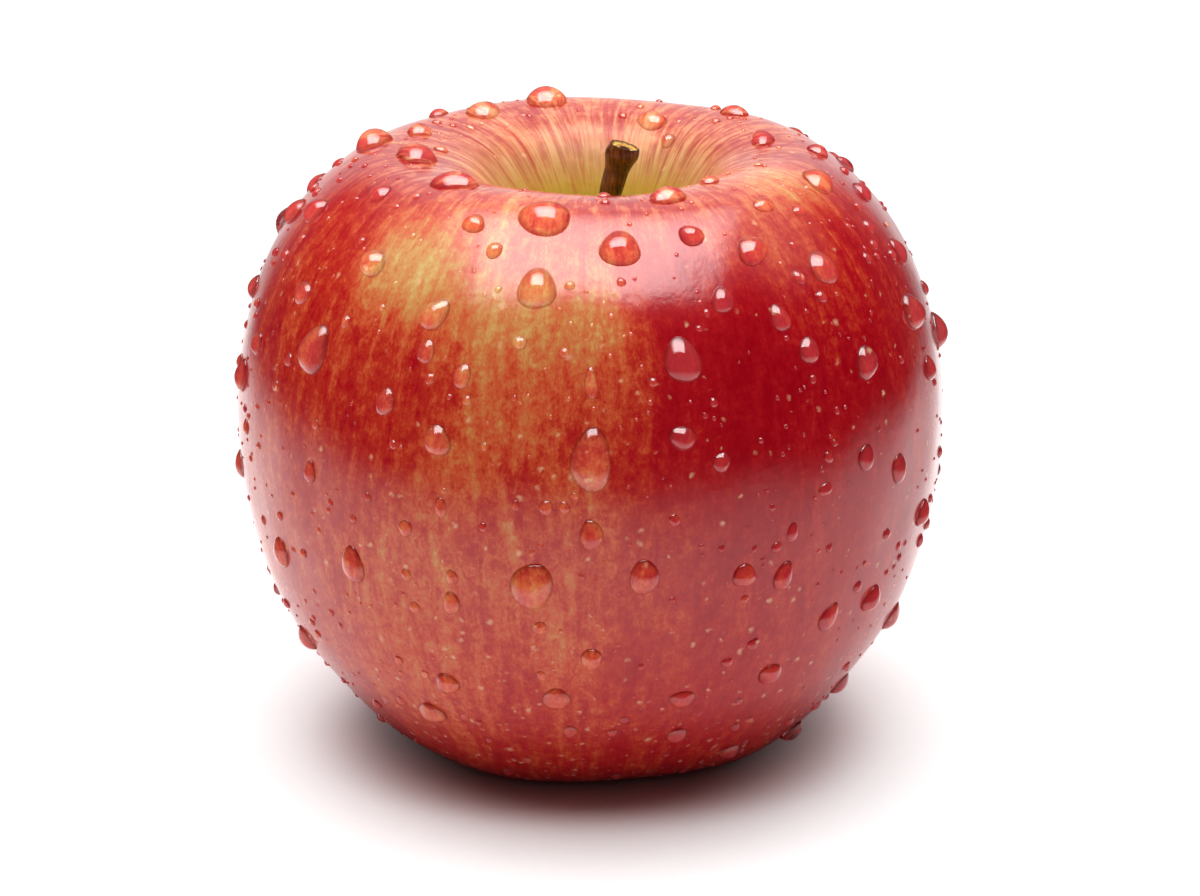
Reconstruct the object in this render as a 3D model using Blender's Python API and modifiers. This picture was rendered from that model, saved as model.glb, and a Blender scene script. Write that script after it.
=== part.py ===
"""A whole picked apple: the fruit, its short woody stem and the five dried sepals of its calyx.

Units are metres, +Z is up. The origin is on the resting plane, under the middle of the fruit.
"""

import math

import bmesh
import bpy
from mathutils import Matrix, Vector

MM = 0.001

# Fruit
GIRTH_RADIUS = 40.0 * MM  # the fruit is 80 mm across at its widest
GIRTH_HEIGHT = 41.0 * MM
FRUIT_HEIGHT = 67.4 * MM
RIDGE_RADIUS = 20.5 * MM  # the ring of highest points round the stem cavity
CAVITY_DEPTH = 17.0 * MM
CAVITY_SHIFT = 1.0 * MM  # the cavity's throat sits a little to +X of the middle
BASE_RADIUS = 22.0 * MM  # the ring of lowest points round the calyx basin
BASIN_DEPTH = 10.0 * MM
SOCKET_DEPTH = 2.5 * MM  # how deep the stem's foot sits in the cavity's floor

# Five lobes, one for each seed chamber
LOBES = 5
FIRST_LOBE = math.radians(-113)
LOBE_LIFT = 0.6 * MM  # how far the base rises between two lobes
RIDGE_DIP = 0.3 * MM  # how far the ridge drops between two lobes
RIB_DEPTH = 0.25 * MM  # how far the sides draw in between two lobes
FLAT_DEPTH = 0.12 * MM  # how much each lobe is flattened where it rests

# Stem
STEM_FOOT_RADIUS = 1.25 * MM
STEM_TIP_RADIUS = 1.75 * MM
STEM_LEAN = 2.75 * MM  # how far the cut end is to +X of the foot
STEM_BEND = 1.8  # 1 is a straight stem, and more bends later
STEM_TOP = 67.0 * MM
STEM_STATIONS = 9

# Sepals
SEPAL_LENGTH = 4.8 * MM
SEPAL_WIDTH = 3.1 * MM
SEPAL_THICKNESS = 0.5 * MM
SEPAL_LEAN = 0.34  # how far the tip leans towards the middle, for each unit of length
SEPAL_CUP = 0.22  # how far the edges draw in, for each unit of half the width
SEPAL_RING_RADIUS = 2.9 * MM

GAP = 0.3 * MM  # between pieces that touch
AROUND = 60  # facets round the fruit
CURVE_STEPS = 3  # facets between two points of the outline


def clear_scene():
    for obj in list(bpy.data.objects):
        bpy.data.objects.remove(obj)


def make_material(name, colour, roughness):
    material = bpy.data.materials.new(name)
    material.use_nodes = True
    shader = material.node_tree.nodes["Principled BSDF"]
    shader.inputs["Base Color"].default_value = (*colour, 1.0)
    shader.inputs["Roughness"].default_value = roughness
    shader.inputs["Metallic"].default_value = 0.0
    return material


def smooth_step(value, low, high):
    share = min(max((value - low) / (high - low), 0.0), 1.0)
    return share * share * (3.0 - 2.0 * share)


def add_object(name, mesh, collection, material):
    obj = bpy.data.objects.new(name, mesh)
    obj.data.materials.append(material)
    collection.objects.link(obj)
    return obj


def fruit_outline():
    """(radius, height) of the outline's points, from the stem cavity out and down to the calyx basin."""
    cavity_floor = FRUIT_HEIGHT - CAVITY_DEPTH
    return [
        (0.16 * RIDGE_RADIUS, cavity_floor + 0.07 * CAVITY_DEPTH),
        (0.32 * RIDGE_RADIUS, cavity_floor + 0.30 * CAVITY_DEPTH),
        (0.50 * RIDGE_RADIUS, cavity_floor + 0.61 * CAVITY_DEPTH),
        (0.70 * RIDGE_RADIUS, cavity_floor + 0.895 * CAVITY_DEPTH),
        (RIDGE_RADIUS, FRUIT_HEIGHT),
        (0.64 * GIRTH_RADIUS, 0.987 * FRUIT_HEIGHT),
        (0.87 * GIRTH_RADIUS, 0.853 * FRUIT_HEIGHT),
        (GIRTH_RADIUS, GIRTH_HEIGHT),
        (0.938 * GIRTH_RADIUS, 0.49 * GIRTH_HEIGHT),
        (0.765 * GIRTH_RADIUS, 0.19 * GIRTH_HEIGHT),
        (BASE_RADIUS, 0.0),
        (0.62 * BASE_RADIUS, 0.22 * BASIN_DEPTH),
        (0.36 * BASE_RADIUS, 0.62 * BASIN_DEPTH),
        (0.17 * BASE_RADIUS, 0.92 * BASIN_DEPTH),
        (0.0, BASIN_DEPTH),
    ]


def curve_through(points, steps):
    """Points along a centripetal Catmull-Rom curve through the given (radius, height) points."""
    knots = [Vector(p) for p in points]
    knots = [2 * knots[0] - knots[1], *knots, 2 * knots[-1] - knots[-2]]
    found = []
    for a, b, c, d in zip(knots, knots[1:], knots[2:], knots[3:]):
        t1 = (b - a).length ** 0.5
        t2 = t1 + (c - b).length ** 0.5
        t3 = t2 + (d - c).length ** 0.5
        for step in range(steps):
            t = t1 + (t2 - t1) * step / steps
            ab = a.lerp(b, t / t1)
            bc = b.lerp(c, (t - t1) / (t2 - t1))
            cd = c.lerp(d, (t - t2) / (t3 - t2))
            abc = ab.lerp(bc, t / t2)
            bcd = bc.lerp(cd, (t - t1) / (t3 - t1))
            found.append(abc.lerp(bcd, (t - t1) / (t2 - t1)))
    return [*found, Vector(points[-1])]


def with_stem_socket(outline):
    """The outline with the round pocket that holds the stem's foot added at its start."""
    wall = STEM_FOOT_RADIUS + GAP
    mouth = FRUIT_HEIGHT - CAVITY_DEPTH
    floor = mouth - SOCKET_DEPTH
    return [Vector((0.0, floor)), Vector((wall, floor)), Vector((wall, mouth)), *outline]


def turn(name, outline, around, collection):
    """The closed body that the outline makes when it is turned about Z. The outline starts at the top."""
    mesh = bpy.data.meshes.new(name)
    mesh.from_pydata([(r, 0.0, z) for r, z in outline], [(i, i + 1) for i in range(len(outline) - 1)], [])
    obj = bpy.data.objects.new(name, mesh)
    collection.objects.link(obj)
    screw = obj.modifiers.new("turn", "SCREW")
    screw.steps = screw.render_steps = around
    screw.use_merge_vertices = True
    screw.merge_threshold = 0.00001
    screw.use_smooth_shade = True
    graph = bpy.context.evaluated_depsgraph_get()
    turned = bpy.data.meshes.new_from_object(obj.evaluated_get(graph))
    bpy.data.objects.remove(obj)
    return turned


def between_lobes(azimuth):
    """0 on a lobe's crest and 1 half-way between two lobes."""
    return (1.0 - math.cos(LOBES * (azimuth - FIRST_LOBE))) / 2.0


def shape_lobes(point):
    """Where a point of the turned body goes once the fruit has its five lobes."""
    radius = math.hypot(point.x, point.y)
    valley = between_lobes(math.atan2(point.y, point.x))
    base = smooth_step(0.4 * FRUIT_HEIGHT - point.z, 0.0, 0.4 * FRUIT_HEIGHT)
    base *= smooth_step(radius, 0.2 * BASE_RADIUS, 0.8 * BASE_RADIUS)
    top = smooth_step(point.z, 0.75 * FRUIT_HEIGHT, FRUIT_HEIGHT)
    top *= smooth_step(radius, 0.3 * RIDGE_RADIUS, 0.9 * RIDGE_RADIUS)
    side = smooth_step(radius, RIDGE_RADIUS, GIRTH_RADIUS)
    inward = 1.0 - side * valley * RIB_DEPTH / GIRTH_RADIUS
    lift = base * valley * LOBE_LIFT - top * valley * RIDGE_DIP
    throat = smooth_step(point.z, 0.5 * FRUIT_HEIGHT, 0.7 * FRUIT_HEIGHT)
    throat *= smooth_step(RIDGE_RADIUS - radius, 0.0, 0.6 * RIDGE_RADIUS)
    return Vector((point.x * inward + throat * CAVITY_SHIFT, point.y * inward, point.z + lift))


def rest_on_flats(work):
    """Stands the body on Z = 0 with a small flat cut on the lowest point of each lobe."""
    lowest = min(vertex.co.z for vertex in work.verts)
    bmesh.ops.translate(work, verts=work.verts, vec=(0.0, 0.0, -lowest - FLAT_DEPTH))
    everything = [*work.verts, *work.edges, *work.faces]
    cut = bmesh.ops.bisect_plane(
        work, geom=everything, dist=0.0000001, plane_co=(0, 0, 0), plane_no=(0, 0, -1), clear_outer=True
    )
    rims = [part for part in cut["geom_cut"] if isinstance(part, bmesh.types.BMEdge)]
    flats = bmesh.ops.edgenet_fill(work, edges=rims)["faces"]
    for face in flats:
        face.smooth = False
    bmesh.ops.recalc_face_normals(work, faces=work.faces)


def make_fruit(collection, material):
    outline = with_stem_socket(curve_through(fruit_outline(), CURVE_STEPS))
    mesh = turn("fruit", outline, AROUND, collection)
    work = bmesh.new()
    work.from_mesh(mesh)
    for vertex in work.verts:
        vertex.co = shape_lobes(vertex.co)
    rest_on_flats(work)
    work.to_mesh(mesh)
    work.free()
    return add_object("fruit", mesh, collection, material)


def make_stem(collection, material):
    """A woody stem that bends towards +X above its socket and swells towards its cut end."""
    mouth = FRUIT_HEIGHT - CAVITY_DEPTH - FLAT_DEPTH
    foot = mouth - SOCKET_DEPTH + GAP
    data = bpy.data.curves.new("stem", "CURVE")
    data.dimensions = "3D"
    data.bevel_depth = STEM_FOOT_RADIUS
    data.bevel_resolution = 4
    data.use_fill_caps = True
    spline = data.splines.new("POLY")
    spline.points.add(STEM_STATIONS - 1)
    for number, point in enumerate(spline.points):
        share = number / (STEM_STATIONS - 1)
        height = foot + (STEM_TOP - foot) * share
        above = max(height - mouth, 0.0) / (STEM_TOP - mouth)
        point.co = (CAVITY_SHIFT + STEM_LEAN * above**STEM_BEND, 0.0, height, 1.0)
        point.radius = 1.0 + (STEM_TIP_RADIUS / STEM_FOOT_RADIUS - 1.0) * smooth_step(share, 0.45, 1.0)
    obj = bpy.data.objects.new("stem", data)
    data.materials.append(material)
    collection.objects.link(obj)
    return obj


def sepal_mesh():
    """One dried sepal: a pointed blade, hollow on its inner side, that hangs from its root."""
    mesh = bpy.data.meshes.new("sepal")
    work = bmesh.new()
    rows = [(0.0, 0.8), (0.3, 1.0), (0.65, 0.62), (1.0, 0.16)]  # share of the length, share of the width
    grid = []
    for along, across in rows:
        half = SEPAL_WIDTH * across / 2
        lean = SEPAL_LEAN * SEPAL_LENGTH * along
        drop = SEPAL_LENGTH * along
        sides = [work.verts.new((-lean - SEPAL_CUP * half, turn * half, -drop)) for turn in (-1, 1)]
        middle = work.verts.new((-lean, 0.0, -drop))
        grid.append([sides[0], middle, sides[1]])
    for upper, lower in zip(grid, grid[1:]):
        for left in range(2):
            work.faces.new((upper[left], upper[left + 1], lower[left + 1], lower[left]))
    work.to_mesh(mesh)
    work.free()
    return mesh


def make_sepals(collection, material):
    """Five sepals in a ring, hanging into the calyx basin and leaning together."""
    mesh = sepal_mesh()
    mesh.materials.append(material)
    root_height = BASIN_DEPTH - FLAT_DEPTH - SEPAL_THICKNESS - GAP
    for number in range(LOBES):
        turned = Matrix.Rotation(FIRST_LOBE + 2.0 * math.pi * number / LOBES, 4, "Z")
        obj = bpy.data.objects.new(f"sepal_{number + 1}", mesh)
        obj.matrix_world = turned @ Matrix.Translation((SEPAL_RING_RADIUS, 0.0, root_height))
        collection.objects.link(obj)
        skin = obj.modifiers.new("blade thickness", "SOLIDIFY")
        skin.thickness = SEPAL_THICKNESS
        skin.offset = 0.0
        smooth = obj.modifiers.new("soft edges", "SUBSURF")
        smooth.levels = smooth.render_levels = 1


def main():
    clear_scene()
    apple = bpy.data.collections.new("apple")
    bpy.context.scene.collection.children.link(apple)
    skin = make_material("apple skin", (0.42, 0.03, 0.03), 0.25)
    bark = make_material("stem bark", (0.09, 0.035, 0.012), 0.4)
    dry_leaf = make_material("dry sepal", (0.20, 0.12, 0.06), 0.8)
    make_fruit(apple, skin)
    make_stem(apple, bark)
    make_sepals(apple, dry_leaf)


main()
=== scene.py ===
import math
import random

import bpy
import numpy as np
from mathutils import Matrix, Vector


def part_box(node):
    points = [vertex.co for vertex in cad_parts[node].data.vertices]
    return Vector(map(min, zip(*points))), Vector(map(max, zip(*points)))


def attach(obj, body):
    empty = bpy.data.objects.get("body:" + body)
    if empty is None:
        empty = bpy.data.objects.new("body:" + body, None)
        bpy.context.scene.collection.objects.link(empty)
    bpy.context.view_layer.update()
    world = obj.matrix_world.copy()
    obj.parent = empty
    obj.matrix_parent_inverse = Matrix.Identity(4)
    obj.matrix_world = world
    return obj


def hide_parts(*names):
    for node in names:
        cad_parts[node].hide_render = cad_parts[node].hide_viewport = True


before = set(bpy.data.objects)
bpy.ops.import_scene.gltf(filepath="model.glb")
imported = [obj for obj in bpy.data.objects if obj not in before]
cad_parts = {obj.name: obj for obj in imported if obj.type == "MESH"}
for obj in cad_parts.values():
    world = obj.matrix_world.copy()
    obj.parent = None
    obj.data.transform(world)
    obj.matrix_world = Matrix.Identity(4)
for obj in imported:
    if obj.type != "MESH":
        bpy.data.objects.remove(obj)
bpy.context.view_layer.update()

mm = 0.001


# Small tools

def toLinear(hexColour):
    parts = [int(hexColour[i:i + 2], 16) / 255 for i in (1, 3, 5)]
    return tuple(c / 12.92 if c <= 0.04045 else ((c + 0.055) / 1.055) ** 2.4 for c in parts) + (1.0,)


def smoothStep(value, low, high):
    share = np.clip((value - low) / (high - low), 0.0, 1.0)
    return share * share * (3.0 - 2.0 * share)


def addNode(tree, kind, inputs=None, **settings):
    # a node with its settings; an input is given by name or number, as a value or as the socket that feeds it
    node = tree.nodes.new(kind)
    for name, value in settings.items():
        setattr(node, name, value)
    for name, value in (inputs or {}).items():
        if isinstance(value, bpy.types.NodeSocket):
            tree.links.new(value, node.inputs[name])
        else:
            node.inputs[name].default_value = value
    return node


def newMaterial(name):
    material = bpy.data.materials.new(name)
    material.use_nodes = True
    tree = material.node_tree
    return material, tree, tree.nodes["Principled BSDF"]


def setRamp(node, stops):
    ramp = node.color_ramp
    while len(ramp.elements) < len(stops):
        ramp.elements.new(0.5)
    for element, (place, hexColour) in zip(ramp.elements, stops):
        element.position = place
        element.color = toLinear(hexColour)


def makeObject(name, vertices, faces, material, smooth=True):
    mesh = bpy.data.meshes.new(name)
    mesh.from_pydata([tuple(v) for v in vertices], [], faces)
    mesh.polygons.foreach_set("use_smooth", [smooth] * len(mesh.polygons))
    mesh.materials.append(material)
    mesh.update()
    piece = bpy.data.objects.new(name, mesh)
    bpy.context.scene.collection.objects.link(piece)
    return piece


def paint(piece, name, kind, values):
    # keeps a value on each vertex, which the piece's material reads back
    layer = piece.data.attributes.new(name, kind, "POINT")
    field = "value" if kind == "FLOAT" else "vector"
    layer.data.foreach_set(field, np.asarray(values, dtype=np.float32).ravel())


def gridFaces(rows, columns, first=0):
    # quads between rings of a closed tube, facing out when the rings run downwards
    return [
        (first + row * columns + k, first + (row + 1) * columns + k,
         first + (row + 1) * columns + (k + 1) % columns, first + row * columns + (k + 1) % columns)
        for row in range(rows - 1) for k in range(columns)
    ]


# The fruit's surface, as one formula that every piece on it uses

fruitLow, fruitHigh = (np.array(corner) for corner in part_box("fruit"))
girth = (fruitHigh[0] - fruitLow[0]) / 2
height = fruitHigh[2]

shape = {
    "girthHeight": 0.61 * height,
    "ridge": 20.5 * mm,  # radius of the ridge round the cavity
    "cavityDepth": 17.0 * mm,
    "cavityShift": 1.0 * mm,
    "base": 22.0 * mm,  # radius of the ring that it rests on
    "basinDepth": 10.0 * mm,
    "lobes": 5,
    "firstLobe": math.radians(-113),
    "lobeLift": 0.6 * mm,
    "ridgeDip": 0.3 * mm,
    "ribDepth": 0.25 * mm,
    "pressed": 0.12 * mm,  # how much the lobes flatten where they rest
    "unevenness": 0.12 * mm,
    "stepsBetween": 40,  # points of the outline from one knot to the next
}


def fruitOutline():
    # radius and height from the cavity's floor, over the ridge and the girth, to the middle of the basin
    ridge, base, middle = shape["ridge"], shape["base"], shape["girthHeight"]
    depth, basin = shape["cavityDepth"], shape["basinDepth"]
    floor = height - depth
    points = [
        (0.0, floor), (0.16 * ridge, floor + 0.07 * depth), (0.32 * ridge, floor + 0.30 * depth),
        (0.50 * ridge, floor + 0.61 * depth), (0.70 * ridge, floor + 0.895 * depth), (ridge, height),
        (0.64 * girth, 0.987 * height), (0.87 * girth, 0.853 * height), (girth, middle),
        (0.938 * girth, 0.49 * middle), (0.765 * girth, 0.19 * middle), (base, 0.0),
        (0.62 * base, 0.22 * basin), (0.36 * base, 0.62 * basin), (0.17 * base, 0.92 * basin), (0.0, basin),
    ]
    knots = np.array([(-points[1][0], points[1][1]), *points, (-points[-2][0], points[-2][1])])
    found = []
    for a, b, c, d in zip(knots, knots[1:], knots[2:], knots[3:]):
        t1 = np.linalg.norm(b - a) ** 0.5
        t2 = t1 + np.linalg.norm(c - b) ** 0.5
        t3 = t2 + np.linalg.norm(d - c) ** 0.5
        t = np.linspace(t1, t2, shape["stepsBetween"], endpoint=False)[:, None]
        ab = a + (b - a) * t / t1
        bc = b + (c - b) * (t - t1) / (t2 - t1)
        cd = c + (d - c) * (t - t2) / (t3 - t2)
        abc = ab + (bc - ab) * t / t2
        bcd = bc + (cd - bc) * (t - t1) / (t3 - t1)
        found.append(abc + (bcd - abc) * (t - t1) / (t2 - t1))
    return np.vstack([*found, knots[-2:-1]])


outline = fruitOutline()
outlineLength = np.concatenate([[0.0], np.cumsum(np.linalg.norm(np.diff(outline, axis=0), axis=1))])
wholeLength = outlineLength[-1]
oneWave = 2 * math.pi / wholeLength
bumpDraw = random.Random(7)
# waves round the fruit: how many, how they wind, where they start and their size, broad ones before fine ones
unevenWaves = [
    (around, bumpDraw.uniform(0.5, 2.5) * oneWave, bumpDraw.uniform(0, 2 * math.pi), 1.0 / around)
    for around in (2, 3, 3, 4, 5, 7, 9)
] + [
    (around, bumpDraw.uniform(-9, 9) * oneWave, bumpDraw.uniform(0, 2 * math.pi), 3.2 / around)
    for around in (11, 14, 17, 20, 23, 29)
]


def fruitPoint(turn, along):
    # the surface at an angle round the core and a distance along the outline from the cavity's floor
    ridge, base = shape["ridge"], shape["base"]
    radius = np.interp(along, outlineLength, outline[:, 0])
    level = np.interp(along, outlineLength, outline[:, 1])
    valley = (1 - np.cos(shape["lobes"] * (turn - shape["firstLobe"]))) / 2
    low = smoothStep(0.4 * height - level, 0, 0.4 * height) * smoothStep(radius, 0.2 * base, 0.8 * base)
    top = smoothStep(level, 0.75 * height, height) * smoothStep(radius, 0.3 * ridge, 0.9 * ridge)
    side = smoothStep(radius, ridge, girth)
    throat = smoothStep(level, 0.5 * height, 0.7 * height) * smoothStep(ridge - radius, 0, 0.6 * ridge)
    uneven = sum(size * np.sin(around * turn + pitch * along + start)
                 for around, pitch, start, size in unevenWaves)
    swell = 1 - side * valley * shape["ribDepth"] / girth
    swell = swell + uneven * shape["unevenness"] * smoothStep(radius, 0.1 * girth, 0.6 * girth) / girth
    x = radius * np.cos(turn) * swell + throat * shape["cavityShift"]
    y = radius * np.sin(turn) * swell
    z = level + low * valley * shape["lobeLift"] - top * valley * shape["ridgeDip"] - shape["pressed"]
    return np.stack([x, y, np.maximum(z, 0.0)], axis=-1)


def fruitFrame(turn, along):
    # a point on the skin with its outward normal and the direction onward along the outline
    step = 0.2 * mm
    here = fruitPoint(turn, along)
    radius = max(math.hypot(here[0], here[1]), 1 * mm)
    onward = fruitPoint(turn, along + step) - fruitPoint(turn, along - step)
    aside = fruitPoint(turn + step / radius, along) - fruitPoint(turn - step / radius, along)
    onward, aside = onward / np.linalg.norm(onward), aside / np.linalg.norm(aside)
    return here, np.cross(onward, aside), onward


# Apple skin: thin, waxy and wet, so it is glossy like a glaze
# A red blush lies over its yellow ground in streaks that run from the stem to the calyx

skinLook = {
    "columns": 440,
    "rows": 214,
    # from the yellow ground, over orange, to the deepest crimson
    "rampStops": [
        (0.00, "#CBB070"), (0.14, "#C99352"), (0.30, "#C76F3E"), (0.46, "#C74E2D"), (0.62, "#B62D1D"),
        (0.80, "#A80F18"), (1.00, "#980212"),
    ],
    "crestStops": [(0.20, "#C07A54"), (0.42, "#AC4C32"), (0.60, "#9A2A1E"), (0.85, "#900E16")],
    "crestShare": 0.60,
    "cavityStops": [
        (0.0, "#574A1A"), (0.10, "#746C28"), (0.28, "#96841E"), (0.37, "#AE8E34"), (0.48, "#D8AC76"),
        (0.70, "#CE8468"),
    ],
    # streaks: width and length in mm, change of redness to each side, noise detail and distortion
    "wideStreaks": (2.6, 12.0, 0.14, 3.0, 0.8),
    "narrowStreaks": (0.9, 4.0, 0.07, 3.0, 0.5),
    "cells": (0.30, 0.42, 0.09, 2.0, 0.6),  # the skin's cells, drawn several times coarser so that they show
    "mottleSize": 1.3 * mm,
    "mottleSwing": 0.14,
    "crackColour": "#4A3512",
    "crackShare": 0.55,
    "poreColour": "#E4AE86",
    "poreSpacing": 1.75 * mm,
    "poreFray": 1.4 * mm,
    "poreShare": 0.72,
    "basinColour": "#A58A46",
    "underWater": (1.22, 1.35, 1.25, 1),  # painted light: how many times lighter the skin's colour is drawn under a drop, in place of the light that the water focuses on it
    "waxRoughness": 0.17,
    "russetRoughness": 0.55,
    "bumpSize": 1.6 * mm,
    "bumpDepth": 0.09 * mm,
    "usualRed": 0.74,  # where no patch is near
    "usualWeight": 0.12,
    # turn from the front in degrees, distance along the outline, half width and half length in mm, redness
    "patches": [
        (-38, 43, 6, 6, 0.00), (-34, 43, 4, 4, 0.00), (-32, 36, 8, 5, 0.38), (-10, 40, 6, 4, 0.46),
        (-12, 47, 7, 4, 0.16), (1, 46, 5, 6, 0.18), (-14, 52, 6, 6, 0.38), (-5, 53, 5, 6, 0.52),
        (-8, 64, 9, 6, 0.48), (-29, 54, 5, 6, 0.66), (-37, 50, 4, 6, 0.66), (-19, 57, 4, 6, 0.36),
        (-15, 45, 4, 4, 0.06), (-42, 56, 9, 9, 0.62), (-58, 47, 9, 9, 0.64), (7, 54, 3, 12, 0.64),
        (18, 55, 7, 9, 0.94), (31, 56, 9, 9, 0.93), (15, 42, 6, 6, 0.86), (42, 38, 5, 5, 0.55),
        (48, 45, 5, 6, 0.62), (52, 55, 8, 10, 0.84),
        (-10, 72, 8, 6, 0.50), (-24, 75, 8, 7, 0.44), (-37, 77, 7, 8, 0.50), (-62, 80, 12, 12, 0.58),
        (1, 74, 5, 7, 0.50), (12, 74, 5, 7, 0.72), (21, 66, 7, 6, 0.86), (30, 76, 9, 9, 0.80),
        (-16, 82, 3, 7, 0.66), (-5, 83, 5, 7, 0.50), (7, 83, 3, 9, 0.68), (-29, 86, 7, 9, 0.46),
        (18, 88, 8, 9, 0.72), (-9, 96, 8, 8, 0.66), (11, 98, 9, 8, 0.74), (50, 66, 9, 10, 0.92),
        (62, 82, 12, 14, 0.80), (-70, 32, 8, 5, 0.78), (58, 30, 8, 5, 0.24), (-45, 30, 9, 4, 0.70),
        (-18, 29, 4, 2, 0.30), (12, 30, 3, 2, 0.84), (30, 29, 4, 2, 0.44),
        (-162, 26, 6, 4, 0.55), (156, 24, 5, 4, 0.40), (-143, 22, 5, 4, 0.42), (100, 56, 16, 20, 0.88),
        (180, 29, 12, 4, 0.38), (-120, 29, 12, 5, 0.50), (120, 29, 12, 5, 0.50), (0, 28, 12, 4, 0.56),
        (-22, 33, 6, 4, 0.34), (4, 35, 6, 4, 0.50), (24, 34, 6, 4, 0.58),
        (140, 44, 10, 10, 0.50), (148, 62, 9, 14, 0.36), (170, 52, 8, 16, 0.66), (-160, 60, 12, 18, 0.90),
        (-128, 50, 12, 16, 0.78), (-112, 72, 10, 14, 0.52), (160, 90, 14, 14, 0.52), (-150, 92, 14, 12, 0.64),
        (105, 92, 14, 12, 0.66),
    ],
}


def blushAt(turn, along):
    # how red the skin is, from 0 on the yellow ground to 1 in the deepest blush
    total = np.full(np.broadcast(turn, along).shape, skinLook["usualWeight"])
    red = total * skinLook["usualRed"]
    for degrees, place, halfWidth, halfLength, redness in skinLook["patches"]:
        centre = math.radians(degrees - 90)
        across = 2 * np.sin((turn - centre) / 2) * girth / (halfWidth * mm)
        down = (along - place * mm) / (halfLength * mm)
        weight = np.exp(-(across ** 2 + down ** 2))
        total = total + weight
        red = red + redness * weight
    return red / total


def makeSkinMaterial():
    material, tree, shader = newMaterial("wetWaxyAppleSkin")
    meridian = addNode(tree, "ShaderNodeAttribute", attribute_name="meridian").outputs["Vector"]
    blush = addNode(tree, "ShaderNodeAttribute", attribute_name="blush").outputs["Fac"]
    along = addNode(tree, "ShaderNodeSeparateXYZ", {0: meridian}).outputs["Z"]  # in girth radii
    place = addNode(tree, "ShaderNodeTexCoord").outputs["Object"]

    def streaks(width, length, swing, detail, distortion):
        # a noise drawn out from the stem to the calyx, which draws together in both hollows
        stretched = addNode(tree, "ShaderNodeMapping",
                            {0: meridian, "Scale": (1, 1, width / length)}).outputs[0]
        noise = addNode(tree, "ShaderNodeTexNoise",
                        {"Vector": stretched, "Scale": girth / (width * mm), "Detail": detail,
                         "Roughness": 0.6, "Distortion": distortion}).outputs[0]
        spread = addNode(tree, "ShaderNodeMapRange", {0: noise, 1: 0.3, 2: 0.7, 3: -swing, 4: swing})
        return noise, spread.outputs[0]

    wide, wideSwing = streaks(*skinLook["wideStreaks"])
    narrow, narrowSwing = streaks(*skinLook["narrowStreaks"])
    cellSwing = streaks(*skinLook["cells"])[1]
    mottle = addNode(tree, "ShaderNodeTexNoise",
                     {"Vector": place, "Scale": 1 / skinLook["mottleSize"], "Detail": 5.0,
                      "Roughness": 0.62, "Distortion": 0.4})
    most = skinLook["mottleSwing"]
    mottleSwing = addNode(tree, "ShaderNodeMapRange",
                          {0: mottle.outputs[0], 1: 0.3, 2: 0.7, 3: -most, 4: most}).outputs[0]
    swing = wideSwing
    for other in (narrowSwing, cellSwing, mottleSwing):
        swing = addNode(tree, "ShaderNodeMath", {0: swing, 1: other}, operation="ADD").outputs[0]
    # the pattern is calmer in the fullest red and on the bare ground colour
    calmRed = addNode(tree, "ShaderNodeMapRange", {0: blush, 1: 0.78, 2: 0.95, 3: 1.0, 4: 0.70}).outputs[0]
    calmYellow = addNode(tree, "ShaderNodeMapRange", {0: blush, 1: 0.10, 2: 0.40, 3: 0.6, 4: 1.0}).outputs[0]
    calm = addNode(tree, "ShaderNodeMath", {0: calmRed, 1: calmYellow}, operation="MULTIPLY").outputs[0]
    redness = addNode(tree, "ShaderNodeMath", {0: swing, 1: calm, 2: blush},
                      operation="MULTIPLY_ADD").outputs[0]
    ramp = addNode(tree, "ShaderNodeValToRGB", {0: redness})
    setRamp(ramp, skinLook["rampStops"])
    colour = ramp.outputs[0]
    # redder and browner streaks on the shoulder round the cavity
    both = addNode(tree, "ShaderNodeMath", {0: wide, 1: narrow}, operation="ADD").outputs[0]
    both = addNode(tree, "ShaderNodeMath", {0: both, 1: mottle.outputs[0]}, operation="ADD").outputs[0]
    streaked = addNode(tree, "ShaderNodeMapRange", {0: both, 1: 1.20, 2: 1.80, 3: 0.0, 4: 1.0}).outputs[0]
    crestRamp = addNode(tree, "ShaderNodeValToRGB", {0: streaked})
    setRamp(crestRamp, skinLook["crestStops"])
    crest = addNode(tree, "ShaderNodeMapRange",
                    {0: along, 1: 0.95, 2: 0.70, 3: 0.0, 4: skinLook["crestShare"]},
                    interpolation_type="SMOOTHSTEP").outputs[0]
    onRed = addNode(tree, "ShaderNodeMapRange", {0: blush, 1: 0.32, 2: 0.56, 3: 0.25, 4: 1.0}).outputs[0]
    crest = addNode(tree, "ShaderNodeMath", {0: crest, 1: onRed}, operation="MULTIPLY").outputs[0]
    colour = addNode(tree, "ShaderNodeMix", {0: crest, 6: colour, 7: crestRamp.outputs[0]},
                     data_type="RGBA").outputs[2]

    # the stem cavity stays green and yellow, in streaks that reach up its wall
    reach = addNode(tree, "ShaderNodeMath", {0: narrow, 1: 0.08, 2: -0.04},
                    operation="MULTIPLY_ADD").outputs[0]
    reachWide = addNode(tree, "ShaderNodeMath", {0: wide, 1: 0.50, 2: -0.25},
                        operation="MULTIPLY_ADD").outputs[0]
    cavity = addNode(tree, "ShaderNodeMath", {0: along, 1: reach}, operation="ADD").outputs[0]
    cavity = addNode(tree, "ShaderNodeMath", {0: cavity, 1: reachWide}, operation="ADD").outputs[0]
    green = addNode(tree, "ShaderNodeMapRange", {0: cavity, 1: 0.26, 2: 0.70, 3: 1.0, 4: 0.0},
                    interpolation_type="SMOOTHSTEP")
    greenRamp = addNode(tree, "ShaderNodeValToRGB", {0: along})
    setRamp(greenRamp, skinLook["cavityStops"])
    colour = addNode(tree, "ShaderNodeMix", {0: green.outputs[0], 6: colour, 7: greenRamp.outputs[0]},
                     data_type="RGBA").outputs[2]

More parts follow.
